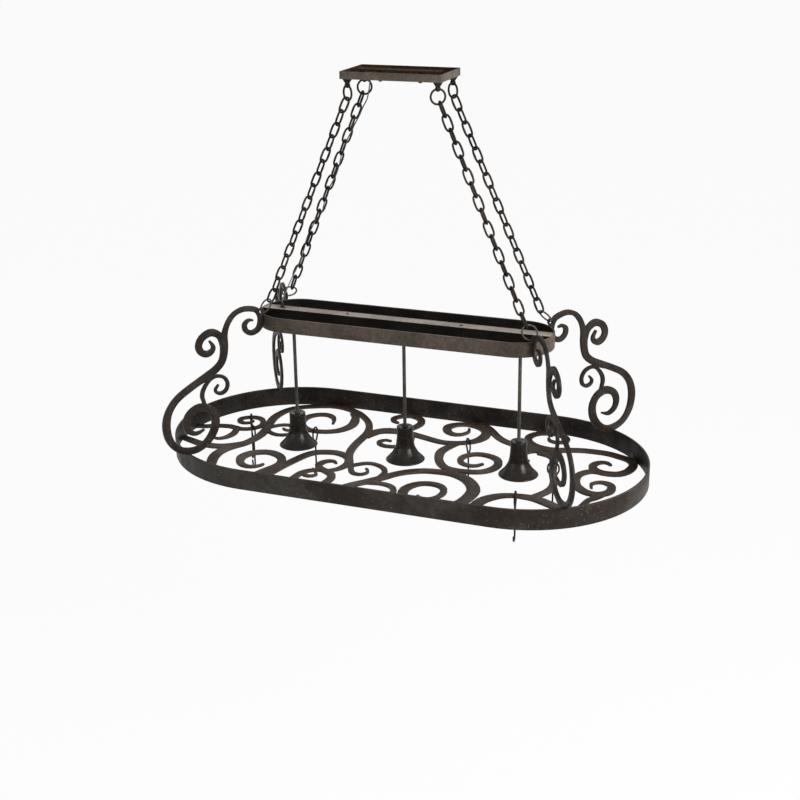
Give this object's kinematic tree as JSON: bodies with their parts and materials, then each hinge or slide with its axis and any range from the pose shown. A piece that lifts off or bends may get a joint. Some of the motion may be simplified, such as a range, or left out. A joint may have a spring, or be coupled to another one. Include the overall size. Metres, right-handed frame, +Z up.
{
  "type": "hanging lit pot rack",
  "caption": "Ceiling-hung oval pot rack: an iron rim with a scroll-work shelf and S-scroll arms on chains, with downlights under a light channel and loose pan hooks.",
  "frame": {"origin": "centre of the face of the mounting bar that lies against the ceiling", "axes": "+Z up out of the ceiling face, +X along the rack, +Y across it to the back"},
  "size_m": [1.1998, 0.6014, 1.0599],
  "materials": {
    "blackened_iron": "satin",
    "chain_steel": "satin",
    "ring_steel": "satin",
    "hook_steel": "satin",
    "plated_steel": "satin",
    "light_bar_paint": "satin",
    "bell_paint": "satin",
    "socket_plastic": "matte",
    "bulb_glass": "frosted",
    "cord_plastic": "matte",
    "gland_rubber": "matte"
  },
  "bodies": {
    "canopy": {"canopy_shell": "blackened_iron", "ceiling_bar": "plated_steel", "canopy_studs": "plated_steel", "cap_nuts": "blackened_iron", "loop_hangers": "blackened_iron", "hanger_nuts": "plated_steel", "cord_grommet": "gland_rubber"},
    "top_ring_fl": {"top_ring_fl": "chain_steel"},
    "chain_fl": {"chain_fl": "chain_steel"},
    "foot_ring_fl": {"foot_ring_fl": "ring_steel"},
    "top_ring_fr": {"top_ring_fr": "chain_steel"},
    "chain_fr": {"chain_fr": "chain_steel"},
    "foot_ring_fr": {"foot_ring_fr": "ring_steel"},
    "top_ring_bl": {"top_ring_bl": "chain_steel"},
    "chain_bl": {"chain_bl": "chain_steel", "supply_cord": "cord_plastic"},
    "foot_ring_bl": {"foot_ring_bl": "ring_steel"},
    "top_ring_br": {"top_ring_br": "chain_steel"},
    "chain_br": {"chain_br": "chain_steel"},
    "foot_ring_br": {"foot_ring_br": "ring_steel"},
    "rack": {"channel_band": "blackened_iron", "light_bar": "light_bar_paint", "wire_cover": "light_bar_paint", "cover_screws": "plated_steel", "cord_gland": "gland_rubber", "lamp_rod_left": "blackened_iron", "lamp_rod_middle": "blackened_iron", "lamp_rod_right": "blackened_iron", "rod_nuts": "plated_steel", "lamp_bell_left": "bell_paint", "lamp_bell_middle": "bell_paint", "lamp_bell_right": "bell_paint", "bell_nuts": "blackened_iron", "lamp_socket_left": "socket_plastic", "lamp_socket_middle": "socket_plastic", "lamp_socket_right": "socket_plastic", "bulb_left": "bulb_glass", "bulb_middle": "bulb_glass", "bulb_right": "bulb_glass", "arm_fl": "blackened_iron", "arm_fr": "blackened_iron", "arm_bl": "blackened_iron", "arm_br": "blackened_iron", "rim_band": "blackened_iron", "rim_splice": "blackened_iron", "scroll_shelf": "blackened_iron"},
    "hook_1": {"hook_1": "hook_steel"},
    "hook_2": {"hook_2": "hook_steel"},
    "hook_3": {"hook_3": "hook_steel"},
    "hook_4": {"hook_4": "hook_steel"},
    "hook_5": {"hook_5": "hook_steel"},
    "hook_6": {"hook_6": "hook_steel"}
  },
  "joints": [
    {"name": "swing_fore_aft", "type": "hinge", "parent": "canopy", "child": "top_ring_fl", "pos_m": [-0.1075, -0.05, -0.0351], "axis": [1, 0, 0], "range_deg": [-6, 6], "deforming": ["supply_cord"]},
    {"name": "swing_sideways", "type": "hinge", "parent": "top_ring_fl", "child": "chain_fl", "pos_m": [-0.11109, -0.04749, -0.06199], "axis": [0, 1, 0], "range_deg": [-3, 3], "deforming": ["supply_cord"]},
    {"name": "foot_ring_fl_turn", "type": "hinge", "parent": "chain_fl", "child": "foot_ring_fl", "pos_m": [-0.32056, -0.06175, -0.55058], "axis": [0, 1, 0], "range_deg": [-1.04, 1.04]},
    {"name": "rack_level", "type": "hinge", "parent": "foot_ring_fl", "child": "rack", "pos_m": [-0.33987, -0.07035, -0.57407], "axis": [1, 0, 0], "range_deg": [-4.27, 4.27]},
    {"name": "top_ring_fr_turn", "type": "hinge", "parent": "canopy", "child": "top_ring_fr", "pos_m": [0.1075, -0.05, -0.0351], "axis": [1, 0, 0], "range_deg": [-6, 6]},
    {"name": "chain_fr_turn", "type": "hinge", "parent": "top_ring_fr", "child": "chain_fr", "pos_m": [0.11109, -0.04749, -0.06199], "axis": [0, 1, 0], "range_deg": [-3, 3]},
    {"name": "foot_ring_fr_turn", "type": "hinge", "parent": "chain_fr", "child": "foot_ring_fr", "pos_m": [0.32056, -0.06175, -0.55058], "axis": [0, 1, 0], "range_deg": [-1.04, 1.04]},
    {"name": "top_ring_bl_turn", "type": "hinge", "parent": "canopy", "child": "top_ring_bl", "pos_m": [-0.1075, 0.05, -0.0351], "axis": [1, 0, 0], "range_deg": [-6, 6]},
    {"name": "chain_bl_turn", "type": "hinge", "parent": "top_ring_bl", "child": "chain_bl", "pos_m": [-0.11109, 0.04749, -0.06199], "axis": [0, 1, 0], "range_deg": [-3, 3]},
    {"name": "foot_ring_bl_turn", "type": "hinge", "parent": "chain_bl", "child": "foot_ring_bl", "pos_m": [-0.32056, 0.06175, -0.55058], "axis": [0, 1, 0], "range_deg": [-1.04, 1.04]},
    {"name": "top_ring_br_turn", "type": "hinge", "parent": "canopy", "child": "top_ring_br", "pos_m": [0.1075, 0.05, -0.0351], "axis": [1, 0, 0], "range_deg": [-6, 6]},
    {"name": "chain_br_turn", "type": "hinge", "parent": "top_ring_br", "child": "chain_br", "pos_m": [0.11109, 0.04749, -0.06199], "axis": [0, 1, 0], "range_deg": [-3, 3]},
    {"name": "foot_ring_br_turn", "type": "hinge", "parent": "chain_br", "child": "foot_ring_br", "pos_m": [0.32056, 0.06175, -0.55058], "axis": [0, 1, 0], "range_deg": [-1.04, 1.04]},
    {"name": "hook_1_swing", "type": "hinge", "parent": "rack", "child": "hook_1", "pos_m": [-0.289, 0.098, -0.94862], "axis": [-1, 0, 0], "range_deg": [-25, 25]},
    {"name": "hook_2_swing", "type": "hinge", "parent": "rack", "child": "hook_2", "pos_m": [0.112, 0.155, -0.94862], "axis": [0.7913, 0.6114, 0], "range_deg": [-25, 25]},
    {"name": "hook_3_swing", "type": "hinge", "parent": "rack", "child": "hook_3", "pos_m": [0.318, -0.118, -0.94862], "axis": [0.987, 0.1607, 0], "range_deg": [-25, 25]},
    {"name": "hook_4_swing", "type": "hinge", "parent": "rack", "child": "hook_4", "pos_m": [-0.492, 0.133, -0.95048], "axis": [-0.93, -0.3677, 0], "range_deg": [-25, 10]},
    {"name": "hook_5_swing", "type": "hinge", "parent": "rack", "child": "hook_5", "pos_m": [-0.45, 0.062, -0.95095], "axis": [0.7071, 0.7071, 0], "range_deg": [-25, 10]},
    {"name": "hook_6_swing", "type": "hinge", "parent": "rack", "child": "hook_6", "pos_m": [0.355, 0.08, -0.94862], "axis": [0.2086, -0.978, 0], "range_deg": [-25, 25]}
  ],
  "couplings": [
    {"joint": "foot_ring_fl_turn", "follows": "swing_sideways", "ratio": -0.34654},
    {"joint": "rack_level", "follows": "swing_fore_aft", "ratio": -0.71073},
    {"joint": "top_ring_fr_turn", "follows": "swing_fore_aft", "ratio": 1},
    {"joint": "chain_fr_turn", "follows": "swing_sideways", "ratio": 1},
    {"joint": "foot_ring_fr_turn", "follows": "swing_sideways", "ratio": -0.34654},
    {"joint": "top_ring_bl_turn", "follows": "swing_fore_aft", "ratio": 1},
    {"joint": "chain_bl_turn", "follows": "swing_sideways", "ratio": 1},
    {"joint": "foot_ring_bl_turn", "follows": "swing_sideways", "ratio": -0.34654},
    {"joint": "top_ring_br_turn", "follows": "swing_fore_aft", "ratio": 1},
    {"joint": "chain_br_turn", "follows": "swing_sideways", "ratio": 1},
    {"joint": "foot_ring_br_turn", "follows": "swing_sideways", "ratio": -0.34654}
  ]
}
